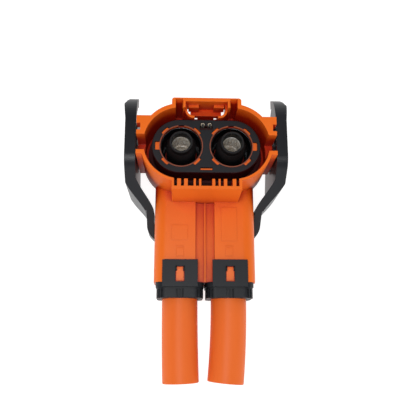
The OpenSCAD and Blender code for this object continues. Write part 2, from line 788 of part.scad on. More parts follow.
module cable_cap(x) {
    color(black) translate([x, 0, cable_z]) difference() {
        union() {
            along_y(-duct_end - slip, -duct_end - cap_flange) rounded(2 * cap_r + 0.8, 2 * cap_r + 0.8, 4.4);
            along_y(-duct_end - cap_flange + eps, -duct_end - cap_flange - cap_l) rounded(2 * cap_r, 2 * cap_r, 4.4);
            rotate([90, 0, 0]) translate([0, 0, duct_end - 2.6]) cylinder(r = seal_r - play, h = 3);
            for (m = [0, 1]) mirror([0, 0, m]) {
                box([-cap_tab_w / 2, -duct_end - cap_flange, duct_h / 2 + play],
                    [cap_tab_w / 2, -duct_end - cap_flange + 2.3 + cap_tab_l, duct_h / 2 + play + cap_tab_t]);
                box([-cap_tab_w / 2, -duct_end - cap_flange, cap_r - cut],
                    [cap_tab_w / 2, -duct_end - slip, duct_h / 2 + play + cap_tab_t]);
            }
        }
        rotate([90, 0, 0]) cylinder(r = cap_bore, h = 3 * duct_end);
        for (m = [0, 1]) mirror([0, 0, m]) box([-cap_window[0] / 2, -duct_end + 0.05, duct_h / 2 - cut],
            [cap_window[0] / 2, -duct_end + 0.05 + cap_window[1], duct_h / 2 + 4]);
        for (a = [0:45:315], d = [-1, 0, 1]) rotate([0, a + 7 * d, 0])
            box([-0.35, -duct_end - cap_flange - cap_l - cut, cap_r + (a % 90 == 0 ? -0.35 : 2)],
                [0.35, -duct_end - cap_flange - 0.8, cap_r + 6]);
    }
}

// Cable seal: a ribbed rubber sleeve between the cable and the duct
module cable_seal(x) {
    color("#a33a22") translate([x, 0, cable_z]) rotate([-90, 0, 0]) rotate_extrude() {
        y0 = -duct_end + 2.7;
        y1 = seal_y - slip;
        rib = (y1 - y0) / 7;
        translate([cable_d / 2 + slip, y0]) square([seal_r - play - 0.5 - cable_d / 2, y1 - y0]);
        for (i = [0, 2, 4, 6]) translate([cable_d / 2 + slip, y0 + rib * i]) square([seal_r - play - cable_d / 2, rib]);
    }
}

// Cable: four concentric layers, each stripped back further towards the terminal
cable_end = duct_end + cap_flange + cap_l;
insulation_r = conductor_d / 2 + insulation_wall;
braid_r = insulation_r + braid_wall + slip;
ferrule_wall = 0.7;
ferrule_l = 9;
ferrule_start = sheath_start + ferrule_l;
insulation_start = barrel_end - 1;

// A ring from r0 to r1 along the cable from y, straight to the cap and then on the bend
module cable_layer(side, r0, r1, y) {
    bend = side < 0 ? bend_left : bend_right;
    turn = cable_out / bend * 180 / PI;
    translate([side * cx, 0, cable_z]) {
        rotate([90, 0, 0]) translate([0, 0, -y]) difference() {
            cylinder(r = r1, h = cable_end + y);
            if (r0 > 0) translate([0, 0, -cut]) cylinder(r = r0, h = cable_end + y + 2 * cut);
        }
        translate([-side * bend, -cable_end, 0]) mirror([side < 0 ? 1 : 0, 0, 0]) mirror([0, 1, 0])
            rotate_extrude(angle = turn) translate([bend, 0]) difference() {
                circle(r1);
                if (r0 > 0) circle(r0);
            }
    }
}

module cable_sheath(side) {
    color(orange) cable_layer(side, braid_r + slip, cable_d / 2, sheath_start);
}

module cable_braid(side) {
    color(silver) cable_layer(side, insulation_r + slip, braid_r, ferrule_start);
}

module cable_insulation(side) {
    color(natural) cable_layer(side, conductor_d / 2 + slip, insulation_r, insulation_start);
}

module conductor(side) {
    color(copper) cable_layer(side, 0, conductor_d / 2, barrel_end + crimp_l - 0.5);
}

// Shield ferrule: crimped over the braid, with a flange against the sheath
module shield_ferrule(x) {
    color(silver) translate([x, 0, cable_z]) rotate([90, 0, 0]) difference() {
        union() {
            translate([0, 0, -ferrule_start]) cylinder(r = braid_r + slip + ferrule_wall, h = ferrule_start - sheath_start);
            translate([0, 0, -sheath_start - 1]) cylinder(r = duct_bore - slip, h = 1 - slip);
        }
        translate([0, 0, -ferrule_start - cut]) cylinder(r = braid_r + slip, h = duct_end);
    }
}

housing();
rear_cover();
front_retainer();
inner_carrier();
interface_seal();
touch_guard(-cx);  // touch_guard_left
touch_guard(cx);  // touch_guard_right
terminal(-cx);  // terminal_left
terminal(cx);  // terminal_right
contact_band(-cx);  // contact_band_left
contact_band(cx);  // contact_band_right
shield_sleeve(-cx);  // shield_sleeve_left
shield_sleeve(cx);  // shield_sleeve_right
interlock_shunt();
lever();
cable_cap(-cx);  // cable_cap_left
cable_cap(cx);  // cable_cap_right
cable_seal(-cx);  // cable_seal_left
cable_seal(cx);  // cable_seal_right
shield_ferrule(-cx);  // shield_ferrule_left
shield_ferrule(cx);  // shield_ferrule_right
cable_sheath(-1);  // cable_sheath_left
cable_sheath(1);  // cable_sheath_right
cable_braid(-1);  // cable_braid_left
cable_braid(1);  // cable_braid_right
cable_insulation(-1);  // cable_insulation_left
cable_insulation(1);  // cable_insulation_right
conductor(-1);  // conductor_left
conductor(1);  // conductor_right
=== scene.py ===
"""High voltage connector: the looks of the part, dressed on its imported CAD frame.

An orange right-angle plug lies on its back on a pale studio floor. It has two
touch-guarded round sockets in a black face, a U-shaped black mating lever and
two shielded cables. Every object is in metres, in the frame's own axes.
"""

from __future__ import annotations

import json
import logging
import math
from dataclasses import dataclass, field
from enum import Enum
from typing import Any, Iterable, Mapping, Sequence, Union

import bmesh
import bpy
from mathutils import Matrix, Vector

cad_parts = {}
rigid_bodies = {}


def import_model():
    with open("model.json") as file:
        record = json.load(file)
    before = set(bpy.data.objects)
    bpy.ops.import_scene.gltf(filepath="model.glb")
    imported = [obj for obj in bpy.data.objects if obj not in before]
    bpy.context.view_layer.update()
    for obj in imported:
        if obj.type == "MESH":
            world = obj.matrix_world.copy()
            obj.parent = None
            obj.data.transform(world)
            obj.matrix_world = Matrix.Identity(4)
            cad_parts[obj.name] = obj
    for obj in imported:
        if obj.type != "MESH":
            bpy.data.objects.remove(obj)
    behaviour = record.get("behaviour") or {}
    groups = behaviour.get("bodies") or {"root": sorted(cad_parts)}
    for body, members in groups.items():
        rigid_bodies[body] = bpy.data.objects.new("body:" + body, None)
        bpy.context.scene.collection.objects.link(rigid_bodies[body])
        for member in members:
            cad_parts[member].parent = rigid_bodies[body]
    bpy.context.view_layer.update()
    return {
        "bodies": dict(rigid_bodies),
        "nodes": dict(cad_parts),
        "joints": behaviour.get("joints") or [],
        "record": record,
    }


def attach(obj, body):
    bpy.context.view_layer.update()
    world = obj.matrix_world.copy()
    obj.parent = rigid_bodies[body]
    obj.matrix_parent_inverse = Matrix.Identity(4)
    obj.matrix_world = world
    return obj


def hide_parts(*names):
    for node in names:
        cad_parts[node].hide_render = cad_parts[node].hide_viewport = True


MM = 0.001
# The body that carries every piece of this script.
BODY = "connector"
# Distance between the two contacts, in millimetres.
PITCH = 22.8
# How tightly each cable bends inward, as a radius in millimetres: -1 is the left side.
BENDS = {-1: 1000.0, 1: 380.0}
Colour = tuple[float, float, float]
Number = Union[float, "Wire"]
log = logging.getLogger("connector")


class Wire:
    """One output socket of a shader node; arithmetic on it adds Math nodes."""

    def __init__(self, graph: "Graph", socket: bpy.types.NodeSocket) -> None:
        """Keeps the socket and the graph that it belongs to."""
        self.graph = graph
        self.socket = socket

    def math(self, operation: str, *values: Number) -> "Wire":
        """Adds one Math node that works on this wire and the values."""
        return self.graph.node("ShaderNodeMath", {"operation": operation}, dict(enumerate((self, *values))))

    def __add__(self, other: Number) -> "Wire":
        """Returns self + other."""
        return self.math("ADD", other)

    def __radd__(self, other: Number) -> "Wire":
        """Returns other + self."""
        return self.math("ADD", other)

    def __sub__(self, other: Number) -> "Wire":
        """Returns self - other."""
        return self.math("SUBTRACT", other)

    def __rsub__(self, other: Number) -> "Wire":
        """Returns other - self."""
        return self.graph.node("ShaderNodeMath", {"operation": "SUBTRACT"}, {0: other, 1: self})

    def __mul__(self, other: Number) -> "Wire":
        """Returns self * other."""
        return self.math("MULTIPLY", other)

    def __rmul__(self, other: Number) -> "Wire":
        """Returns other * self."""
        return self.math("MULTIPLY", other)

    def clamp(self) -> "Wire":
        """Limits the value to the range from 0 to 1."""
        return self.graph.node("ShaderNodeClamp", {}, {"Value": self})


class Graph:
    """The node tree of one material or world, built from wires."""

    def __init__(self, owner: Union[bpy.types.Material, bpy.types.World]) -> None:
        """Empties the tree of its owner.

        Args:
            owner: The new material or world that the nodes belong to.
        """
        owner.use_nodes = True
        self.owner = owner
        self.tree = owner.node_tree
        self.tree.nodes.clear()

    def node(
        self,
        kind: str,
        settings: Mapping[str, Any] | None = None,
        inputs: Mapping[int | str, Any] | None = None,
        output: int | str = 0,
    ) -> Wire:
        """Adds one node.

        Args:
            kind: The node's type.
            settings: Its properties, set first; "stops" holds a ramp's (position, colour) pairs.
            inputs: Values or wires for its sockets, by name or number.
            output: The output socket to return.

        Returns:
            The wire of that output.
        """
        made = self.tree.nodes.new(kind)
        for key, value in (settings or {}).items():
            if key == "stops":
                self.set_stops(made, value)
            else:
                setattr(made, key, value)
        for key, value in (inputs or {}).items():
            if isinstance(value, Wire):
                self.tree.links.new(value.socket, made.inputs[key])
            else:
                made.inputs[key].default_value = value
        return Wire(self, made.outputs[output])

    @staticmethod
    def set_stops(ramp: bpy.types.Node, stops: Sequence[tuple[float, Colour]]) -> None:
        """Sets a ramp's stops.

        Args:
            ramp: The Color Ramp node.
            stops: (position, colour) pairs in rising order.
        """
        elements = ramp.color_ramp.elements
        while len(elements) < len(stops):
            elements.new(0.5)
        for element, (position, colour) in zip(elements, stops):
            element.position = position
            element.color = (*colour, 1.0)

    def place(self) -> Wire:
        """Returns the surface point in the part's own frame, in metres."""
        return self.node("ShaderNodeTexCoord", output="Object")

    def noise(self, grain_mm: float, detail: float = 2.0, stretch: Sequence[float] = (1, 1, 1)) -> Wire:
        """Adds a noise field.

        Args:
            grain_mm: Size of one lump, in millimetres.
            detail: How many finer octaves are added.
            stretch: Factors on X, Y and Z; a small one draws the lumps out that way.

        Returns:
            The noise value, about 0.5 on average.
        """
        point = self.node("ShaderNodeMapping", {}, {"Vector": self.place(), "Scale": tuple(stretch)})
        inputs = {"Vector": point, "Scale": 1.0 / (grain_mm * MM), "Detail": detail}
        return self.node("ShaderNodeTexNoise", {}, inputs)

    def blend(self, factor: Number, low: Any, high: Any) -> Wire:
        """Mixes two colours.

        Args:
            factor: 0 gives the first colour and 1 the second.
            low: The first colour or a wire of one.
            high: The second colour or a wire of one.

        Returns:
            The mixed colour.
        """
        low, high = (c if isinstance(c, Wire) else (*c, 1.0) for c in (low, high))
        return self.node("ShaderNodeMix", {"data_type": "RGBA"}, {0: factor, 6: low, 7: high}, 2)

    def rounded(self, radius_mm: float) -> Wire:
        """Returns a normal that rounds the edges over a radius in millimetres."""
        return self.node("ShaderNodeBevel", {"samples": 6}, {"Radius": radius_mm * MM})

    def edges(self, rounded: Wire, gain: float) -> Wire:
        """Marks the rounded edges.

        Args:
            rounded: The rounded normal.
            gain: How fast the mark reaches 1 as the normal leans.

        Returns:
            1 along the edges and 0 on the faces between them.
        """
        face = self.node("ShaderNodeNewGeometry", output="Normal")
        normals = {0: rounded, 1: face}
        facing = self.node("ShaderNodeVectorMath", {"operation": "DOT_PRODUCT"}, normals, "Value")
        return ((1.0 - facing) * gain).clamp()

    def shelter(self, reach_mm: float) -> Wire:
        """Measures how open the surface is.

        Args:
            reach_mm: How far walls count, in millimetres.

        Returns:
            1 on open faces, falling towards 0 in deep recesses.
        """
        return self.node("ShaderNodeAmbientOcclusion", {"samples": 6}, {"Distance": reach_mm * MM}, "AO")

    def relief(self, height: Wire, depth_mm: float, normal: Wire | None = None) -> Wire:
        """Turns a height field into a normal.

        Args:
            height: The field, from 0 to 1.
            depth_mm: The height of 1, in millimetres.
            normal: The normal that the relief lies on.

        Returns:
            The bumped normal.
        """
        inputs: dict[str, Any] = {"Height": height, "Distance": depth_mm * MM, "Strength": 1.0}
        if normal is not None:
            inputs["Normal"] = normal
        return self.node("ShaderNodeBump", {}, inputs)

    def finish(self, **sockets: Any) -> bpy.types.Material:
        """Ends the tree in one Principled shader.

        Args:
            sockets: Its inputs, with _ for each space.

        Returns:
            The finished material.
        """
        inputs = {key.replace("_", " "): value for key, value in sockets.items()}
        for key, value in inputs.items():
            if isinstance(value, tuple) and len(value) == 3:
                inputs[key] = (*value, 1.0)
        shader = self.node("ShaderNodeBsdfPrincipled", {}, inputs)
        self.close("ShaderNodeOutputMaterial", shader)
        return self.owner

    def close(self, kind: str, shader: Wire) -> None:
        """Links a shader to the tree's output.

        Args:
            kind: The type of the output node.
            shader: The shader's wire.
        """
        target = self.tree.nodes.new(kind)
        self.tree.links.new(shader.socket, target.inputs["Surface"])


@dataclass(frozen=True)
class Moulded:
    """A moulded plastic: satin, with a fine spark-eroded grain, softened edges and a painted highlight
    along them.

    The colour flows into a deeper one over wide lumps. A painted shade colour, where there is
    one, fills the deep places. Lengths are in millimetres.
    """

    name: str
    colour: Colour
    deep: Colour
    edge: Colour
    roughness: float = 0.4
    gloss: float = 0.5
    recess_shade: Colour | None = None
    grain: float = 0.35
    grain_depth: float = 0.006
    edge_radius: float = 0.2
    edge_gain: float = 3.0
    edge_highlight: float = 0.4
    flow: float = 14.0
    shelter_reach: float = 18.0

    def highlight_edges(self, graph: Graph, body: Wire, edge: Wire) -> Wire:
        """Paints a highlight along the edges.

        Args:
            graph: The material's node tree.
            body: The plastic's colour.
            edge: 1 along the edges.

        Returns:
            The colour with lighter edges.
        """
        # painted highlight: the lighter edge colour is blended in along the rounded edges
        return graph.blend(edge * self.edge_highlight, body, self.edge)

    def tinted(self, graph: Graph, body: Wire, edge: Wire) -> Wire:
        """Paints shade into the deep places and a highlight along the edges.

        Args:
            graph: The material's node tree.
            body: The plastic's colour.
            edge: 1 along the edges.

        Returns:
            The colour of the whole surface.
        """
        if self.recess_shade:
            # painted shade: where ambient occlusion finds walls nearby, the colour turns to the recess
            # shade colour
            lit = (graph.shelter(self.shelter_reach) * 2.4 - 0.7).clamp()
            body = graph.blend(lit, self.recess_shade, body)
        return self.highlight_edges(graph, body, edge)

    def material(self) -> bpy.types.Material:
        """Builds the material.

        Returns:
            The finished material.
        """
        graph = Graph(bpy.data.materials.new(self.name))
        rounded = graph.rounded(self.edge_radius)
        edge = graph.edges(rounded, self.edge_gain)
        flow = graph.noise(self.flow, 3.0, (1.0, 0.5, 0.7))
        grain = graph.noise(self.grain, 3.0)
        body = graph.blend((flow * 1.6 - 0.3).clamp(), self.deep, self.colour)
        rough = self.roughness + (flow - 0.5) * 0.12 + (grain - 0.5) * 0.1 - edge * 0.08
        return graph.finish(
            Base_Color=self.tinted(graph, body, edge),
            Roughness=rough,
            Normal=graph.relief(grain, self.grain_depth, rounded),
            IOR=1.5,
            Specular_IOR_Level=self.gloss,
        )


@dataclass(frozen=True, kw_only=True)
class Collared(Moulded):
    """A moulded plastic with thin rings that stand just proud of the mating face.

    The rings' ends, at one level give or take a band, take the collar colour, and all that
    lies below another level takes the recess shade colour, painted shade. Levels are in millimetres.
    """

    collar: Colour
    collar_level: float = 42.95
    collar_band: float = 0.03
    recess_shade_level: float = 42.1

    def tinted(self, graph: Graph, body: Wire, edge: Wire) -> Wire:
        """Paints a highlight along the edges, tints the rings and paints shade on what lies below.

        Args:
            graph: The material's node tree.
            body: The plastic's colour.
            edge: 1 along the edges.

        Returns:
            The colour of the whole surface.
        """
        height = graph.node("ShaderNodeSeparateXYZ", {}, {0: graph.place()}, "Z")
        ring = height.math("COMPARE", self.collar_level * MM, self.collar_band * MM)
        # painted shade: everything below this level takes the recess shade colour
        below = height.math("LESS_THAN", self.recess_shade_level * MM)
        ringed = graph.blend(ring, self.highlight_edges(graph, body, edge), self.collar)
        return graph.blend(below, ringed, self.recess_shade)


@dataclass(frozen=True)
class Rubber:
    """A soft moulded or extruded elastomer with a faint bloom."""

    name: str
    colour: Colour
    bloom: Colour
    roughness: float = 0.5
    stretch: tuple[float, float, float] = (1.0, 1.0, 1.0)
    relief: float = 0.01
    gloss: float = 0.5
    edge_radius: float = 0.2

    def material(self) -> bpy.types.Material:
        """Builds the material.

        Returns:
            The finished material.
        """
        graph = Graph(bpy.data.materials.new(self.name))
        haze = graph.noise(6.0, 4.0, self.stretch)
        skin = graph.noise(0.8, 3.0, self.stretch)
        body = graph.blend((haze * 1.5 - 0.35).clamp(), self.colour, self.bloom)
        rough = self.roughness + (haze - 0.5) * 0.2 + (skin - 0.5) * 0.08
        rounded = graph.rounded(self.edge_radius)
        return graph.finish(
            Base_Color=body,
            Roughness=rough,
            Normal=graph.relief(skin, self.relief, rounded),
            IOR=1.47,
            Specular_IOR_Level=self.gloss,
        )


@dataclass(frozen=True)
class Metal:
    """A plated or drawn metal with a fine brushed direction and light tarnish.

    The tarnish comes in lumps of one size, in millimetres, and its amount makes it spread.
    """

    name: str
    colour: Colour
    tarnish: Colour
    roughness: float = 0.28
    stretch: tuple[float, float, float] = (1.0, 1.0, 1.0)
    amount: float = 0.5
    metallic: float = 1.0
    lump: float = 2.4
    brushed: float = 0.25
    edge_radius: float = 0.12
    brush_depth: float = 0.004

    def material(self) -> bpy.types.Material:
        """Builds the material.

        Returns:
            The finished material.
        """
        graph = Graph(bpy.data.materials.new(self.name))
        stain = graph.noise(self.lump, 4.0)
        brush = graph.noise(self.brushed, 2.0, self.stretch)
        rounded = graph.rounded(self.edge_radius)
        body = graph.blend(((stain - 0.35) * 2.2 * self.amount).clamp(), self.colour, self.tarnish)
        rough = self.roughness + (stain - 0.5) * 0.25 + (brush - 0.5) * 0.2
        return graph.finish(
            Base_Color=body,
            Metallic=self.metallic,
            Roughness=rough,
            Normal=graph.relief(brush, self.brush_depth, rounded),
        )


class Finish(Enum):
    """The finishes of the part: the record's material slots, and two for single nodes."""

    ORANGE = "orange_plastic"
    CARRIER = "carrier_plastic"
    RETAINER = "retainer_plastic"
    BLACK = "black_plastic"
    LEVER = "lever_plastic"
    GUARD = "guard_plastic"
    FACE_SEAL = "black_rubber"
    CABLE_SEAL = "seal_rubber"
    SILVER = "silver_contact"
    BAND = "band_metal"
    GOLD = "gold_contact"
    SHIELD = "shield_metal"
    BRAID = "braid_metal"
    SHEATH = "cable_orange"
    INSULATION = "insulation"
    COPPER = "copper_strand"


# Each moulding's third colour is a painted highlight along its edges.
RECIPES: dict[Finish, Union[Moulded, Rubber, Metal]] = {
    Finish.ORANGE: Moulded(
        "moulded_orange",
        (0.90, 0.166, 0.012),
        (0.84, 0.142, 0.009),
        (0.93, 0.25, 0.06),
        0.38,
        gloss=0.22,
        # painted shade in the deep places of the orange moulding
        recess_shade=(0.5, 0.014, 0.001),
    ),
    Finish.CARRIER: Collared(
        "carrier_orange",
        (0.88, 0.15, 0.012),
        (0.80, 0.128, 0.008),
        (0.9, 0.22, 0.06),
        0.45,
        gloss=0.3,
        recess_shade=(0.30, 0.02, 0.006),
        collar=(0.31, 0.09, 0.05),
    ),
    Finish.RETAINER: Moulded(
        "retainer_black",
        (0.0135, 0.0152, 0.0188),
        (0.0098, 0.0115, 0.0142),
        (0.04, 0.044, 0.05),
        0.5,
        gloss=0.25,
        # painted shade: dark red in the deep places of this black moulding, as orange plastic looks in
        # shade
        recess_shade=(0.034, 0.0015, 0.002),
    ),
    Finish.BLACK: Moulded(
        "moulded_black",
        (0.0128, 0.0145, 0.018),
        (0.0095, 0.011, 0.0138),
        (0.04, 0.044, 0.05),
        0.5,
        gloss=0.25,
        # painted shade: darker colour in the deep places
        recess_shade=(0.004, 0.004, 0.005),
    ),
    Finish.LEVER: Moulded(
        "lever_black",
        (0.0135, 0.015, 0.0188),
        (0.0098, 0.011, 0.014),
        (0.045, 0.049, 0.056),
        0.36,
        gloss=0.28,
    ),
    Finish.GUARD: Moulded(
        "guard_black",
        (0.006, 0.006, 0.0065),
        (0.004, 0.004, 0.0045),
        (0.02, 0.021, 0.022),
        0.5,
        gloss=0.3,
    ),
    # painted shade: this black rubber seal is coloured dark red, as orange plastic looks in shade
    Finish.FACE_SEAL: Rubber("face_seal_painted_shade", (0.042, 0.002, 0.003), (0.05, 0.004, 0.005), 0.6, gloss=0.2),
    Finish.CABLE_SEAL: Rubber("cable_seal", (0.35, 0.05, 0.02), (0.42, 0.09, 0.05), 0.5),
    Finish.SILVER: Metal(
        "silver_plate", (1.0, 0.98, 0.94), (0.66, 0.58, 0.48), 0.75, amount=1.6, metallic=0.2, lump=1.2
    ),
    Finish.BAND: Metal(
        "band_bronze", (1.0, 0.98, 0.94), (0.66, 0.58, 0.48), 0.75, (1, 1, 0.2), 1.6, 0.2, 1.2
    ),
    Finish.GOLD: Metal("gold_plate", (1.0, 0.86, 0.66), (0.9, 0.7, 0.45), 0.45, metallic=0.6),
    # partly painted shade: a dark steel made nearly black, so that the gap round each guard reads as shade
    Finish.SHIELD: Metal("shield_steel_painted_shade", (0.10, 0.105, 0.11), (0.05, 0.05, 0.052), 0.34, (1, 1, 0.15)),
    Finish.BRAID: Metal("tinned_braid", (0.68, 0.66, 0.62), (0.42, 0.4, 0.36), 0.36),
    Finish.SHEATH: Rubber(
        "cable_sheath", (0.86, 0.15, 0.018), (0.9, 0.18, 0.035), 0.46, (1.0, 0.06, 1.0), 0.012, gloss=0.2
    ),
    Finish.INSULATION: Rubber("insulation", (0.8, 0.77, 0.68), (0.86, 0.84, 0.78), 0.45),
    Finish.COPPER: Metal("copper_strand", (0.86, 0.42, 0.24), (0.5, 0.2, 0.1), 0.3),
}


@dataclass
class Workshop:
    """Hands out the finished materials and dresses the CAD nodes."""

    frame: Mapping[str, Any]
    made: dict[Finish, bpy.types.Material] = field(default_factory=dict)
    overrides: Mapping[str, Finish] = field(
        default_factory=lambda: {"inner_carrier": Finish.CARRIER, "front_retainer": Finish.RETAINER}
    )

    def material(self, finish: Finish) -> bpy.types.Material:
        """Looks a material up, and makes it the first time.

        Args:
            finish: One of the part's finishes.

        Returns:
            The finish's material.
        """
        if finish not in self.made:
            self.made[finish] = RECIPES[finish].material()
        return self.made[finish]

    def dress_nodes(self) -> None:
        """Gives every CAD node the finish of its material slot."""
        for part in self.frame["record"]["subparts"]:
            node = self.frame["nodes"][part["node"]]
            finish = self.overrides.get(part["node"], Finish(part["material_slot"]))
            node.data.materials.clear()
            node.data.materials.append(self.material(finish))
            log.info("%s wears %s", node.name, finish.name)

    def cast(self, mould: Mould, finish: Finish, *nodes: str) -> bpy.types.Object:
        """Turns a mould into a piece in one finish, which replaces the CAD nodes given."""
        return mould.piece(self.material(finish), finish.value, *nodes)


@dataclass(frozen=True)
class Route:
    """The middle line of one cable, and frames along it: straight at first, then a slight inward bend."""

    side: int
    bend: float
    height: float = 16.8
    straight: float = 66.7

    def at(self, reach: float) -> Matrix:
        """Finds the frame at one place.

        Args:
            reach: How far along the cable, in millimetres from the mating axis.

        Returns:
            A matrix in millimetres whose Z axis points along the cable.
        """
        turn = max(reach - self.straight, 0.0) / self.bend
        inward = self.bend * (1.0 - math.cos(turn))
        down = min(reach, self.straight) + self.bend * math.sin(turn)
        place = Vector((self.side * (PITCH / 2.0 - inward), -down, self.height))
        along = Vector((-self.side * math.sin(turn), -math.cos(turn), 0.0))
        across = Vector((0.0, 0.0, 1.0)).cross(along)
        axes = Matrix((across, Vector((0.0, 0.0, 1.0)), along)).transposed()
        return Matrix.Translation(place) @ axes.to_4x4()


class Mould:
    """A mesh in the making, in millimetres, that becomes one piece of the scene."""

    def __init__(self, name: str) -> None:
        """Starts an empty mesh.

        Args:
            name: The name of the piece.
        """
        self.name = name
        self.mesh = bmesh.new()

    def ring(self, points: Iterable[Vector]) -> list[bmesh.types.BMVert]:
        """Adds one vertex at each point, given in millimetres."""
        return [self.mesh.verts.new(point * MM) for point in points]

    def skin(self, rings: Sequence[Sequence[bmesh.types.BMVert]], closed: bool = False) -> None:
        """Spans faces between rings that follow each other.

        Args:
            rings: Rings with the same number of vertices.
            closed: Whether the last ring joins the first.
        """
        pairs = list(zip(rings, rings[1:]))
        if closed:
            pairs.append((rings[-1], rings[0]))
        for low, high in pairs:
            count = len(low)
            for i in range(count):
                j = (i + 1) % count
                self.mesh.faces.new((low[i], low[j], high[j], high[i]))

    def prism(self, outline: Sequence[tuple[float, float]], levels: Sequence[float]) -> None:
        """Stands an outline up between two levels.

        Args:
            outline: X and Y of an even number of corners; the second half runs back beside the first.
            levels: Z of the bottom and of the top.
        """
        rings = [self.ring(Vector((x, y, z)) for x, y in outline) for z in levels]
        self.skin(rings)
        last = len(outline) - 1
        for ring in rings:
            for k in range(last // 2):
                self.mesh.faces.new((ring[k], ring[k + 1], ring[last - 1 - k], ring[last - k]))

    def tube(self, frames: Sequence[Matrix], radii: Sequence[float], sides: int, capped: bool) -> None:
        """Sweeps circles along frames.

        Args:
            frames: A frame for each circle, whose Z axis points along the tube.
            radii: The circles' radii.
            sides: The number of sides of each circle.
            capped: Whether each end gets a face; if not, the last circle joins the first.
        """
        turns = around(sides)
        rings = [
            self.ring(frame @ Vector((radius * math.cos(a), radius * math.sin(a), 0.0)) for a in turns)
            for frame, radius in zip(frames, radii)
        ]
        self.skin(rings, closed=not capped)
        if capped:
            self.mesh.faces.new(rings[0])
            self.mesh.faces.new(rings[-1])

    def piece(self, finish: bpy.types.Material, slot: str, *nodes: str) -> bpy.types.Object:
        """Turns the mesh into a piece of the scene.

        Args:
            finish: The piece's material.
            slot: The record's material slot; not used.
            nodes: The CAD nodes that the piece replaces, if any.

        Returns:
            The new object.
        """
        bmesh.ops.recalc_face_normals(self.mesh, faces=self.mesh.faces)
        data = bpy.data.meshes.new(self.name)
        self.mesh.to_mesh(data)
        self.mesh.free()
        data.materials.append(finish)
        data.shade_smooth()
        made = bpy.data.objects.new(self.name, data)
        bpy.context.scene.collection.objects.link(made)
        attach(made, BODY)
        if nodes:
            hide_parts(*nodes)
        log.info("%s: %d faces", made.name, len(data.polygons))
        return made


def smoothed(made: bpy.types.Object, angle: float = 35.0) -> None:
    """Keeps edges sharper than the angle, in degrees, from being shaded smooth."""
    made.data.set_sharp_from_angle(angle=math.radians(angle))


def thickened(made: bpy.types.Object, wall: float) -> bpy.types.Object:
    """Gives a sheet its wall.

    Args:
        made: The sheet.
        wall: Its thickness in millimetres, laid behind its faces.

    Returns:
        The same object.
    """
    thick = made.modifiers.new("thickness", "SOLIDIFY")
    thick.thickness = wall * MM
    thick.offset = -1.0
    return made


def side_name(side: int) -> str:
    """Names a side: -1 is the left one and 1 the right one."""
    return "left" if side < 0 else "right"


def spaced(start: float, stop: float, steps: int) -> list[float]:
    """Lists the values from start to stop in equal steps, both included."""
    return [start + (stop - start) * i / steps for i in range(steps + 1)]


def around(count: int, shift: float = 0.0) -> list[float]:
    """Lists the angles of a full turn in equal parts, each moved on by a share of a part."""
    return [2.0 * math.pi * (i + shift) / count for i in range(count)]


